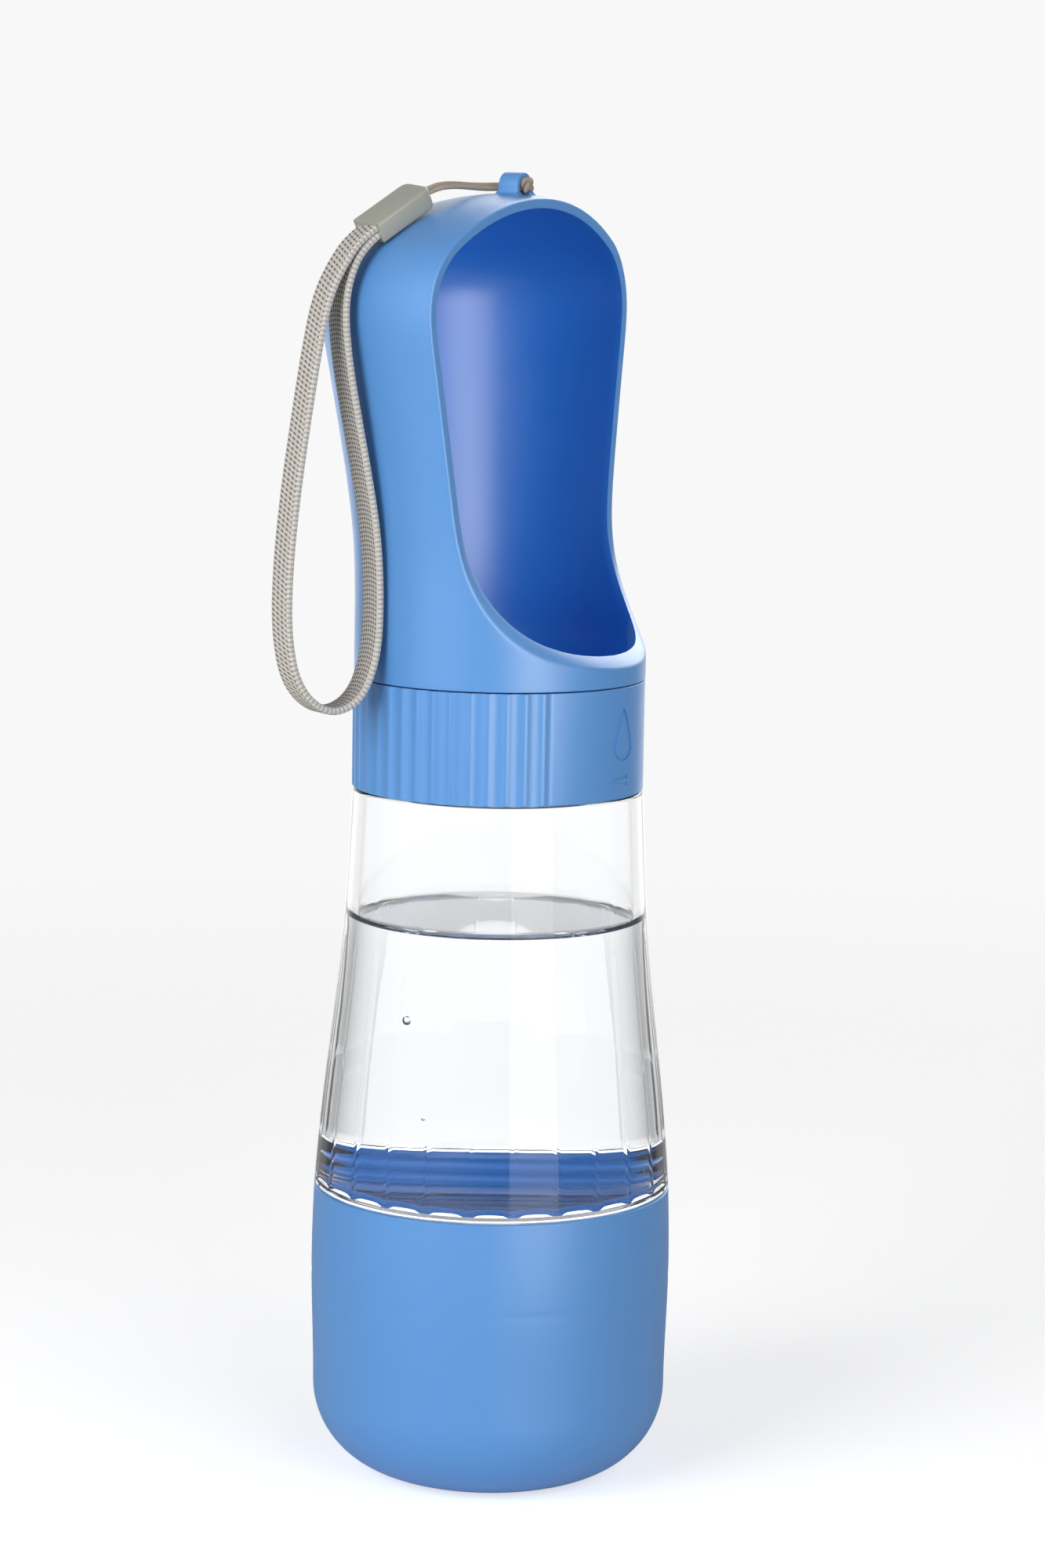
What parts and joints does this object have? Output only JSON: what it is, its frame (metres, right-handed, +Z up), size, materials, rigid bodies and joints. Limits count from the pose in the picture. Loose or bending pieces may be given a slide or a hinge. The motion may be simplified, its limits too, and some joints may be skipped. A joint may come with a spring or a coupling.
{
  "type": "pet water bottle",
  "caption": "Clear pet water bottle with a domed drinking trough that turns as its valve, a screw-on food cup underneath and a wrist strap.",
  "frame": {"origin": "centre of the food cup's base, on the floor", "axes": "+Z up along the bottle's axis; the trough opens towards -Y; +X to the right of someone facing the opening"},
  "size_m": [0.0818, 0.07, 0.252],
  "materials": {
    "blue_plastic": "moulded, satin",
    "clear_plastic": "clear, polished",
    "silicone": "translucent white silicone",
    "cord": "braided thin cord",
    "grey_plastic": "moulded, soft satin",
    "webbing": "woven herringbone webbing"
  },
  "bodies": {
    "cup": {"food_cup": "blue_plastic"},
    "cup_seal": {"cup_gasket": "silicone"},
    "bottle": {"bottle_body": "clear_plastic"},
    "neck_seal": {"neck_gasket": "silicone"},
    "collar": {"lock_collar": "blue_plastic"},
    "trough": {"drinking_trough": "blue_plastic", "valve_seal": "silicone", "trough_ring": "silicone"},
    "strap": {"strap_cord": "cord", "strap_knot": "cord", "strap_sleeve": "grey_plastic", "strap_webbing": "webbing"}
  },
  "joints": [
    {"name": "cup_thread_rise", "type": "slide", "parent": "cup", "child": "cup_seal", "axis": [0, 0, 1], "range_m": [0, 0.0061]},
    {"name": "cup_unscrew", "type": "hinge", "parent": "cup_seal", "child": "bottle", "pos_m": [0, 0, 0.0567], "axis": [0, 0, 1], "range_deg": [0, 360]},
    {"name": "collar_thread_rise", "type": "slide", "parent": "bottle", "child": "neck_seal", "axis": [0, 0, 1], "range_m": [0, 0.0061]},
    {"name": "collar_unscrew", "type": "hinge", "parent": "neck_seal", "child": "collar", "pos_m": [0, 0, 0.135], "axis": [0, 0, 1], "range_deg": [0, 540]},
    {"name": "valve_turn", "type": "hinge", "parent": "collar", "child": "trough", "pos_m": [0, 0, 0.1565], "axis": [0, 0, 1], "range_deg": [0, 90]},
    {"name": "strap_swing", "type": "hinge", "parent": "trough", "child": "strap", "pos_m": [0, 0, 0.2493], "axis": [0, 1, 0], "range_deg": [0, 100]}
  ],
  "couplings": [
    {"joint": "cup_thread_rise", "follows": "cup_unscrew", "m_per_rad": 0.00095493},
    {"joint": "collar_thread_rise", "follows": "collar_unscrew", "m_per_rad": 0.00063662}
  ]
}
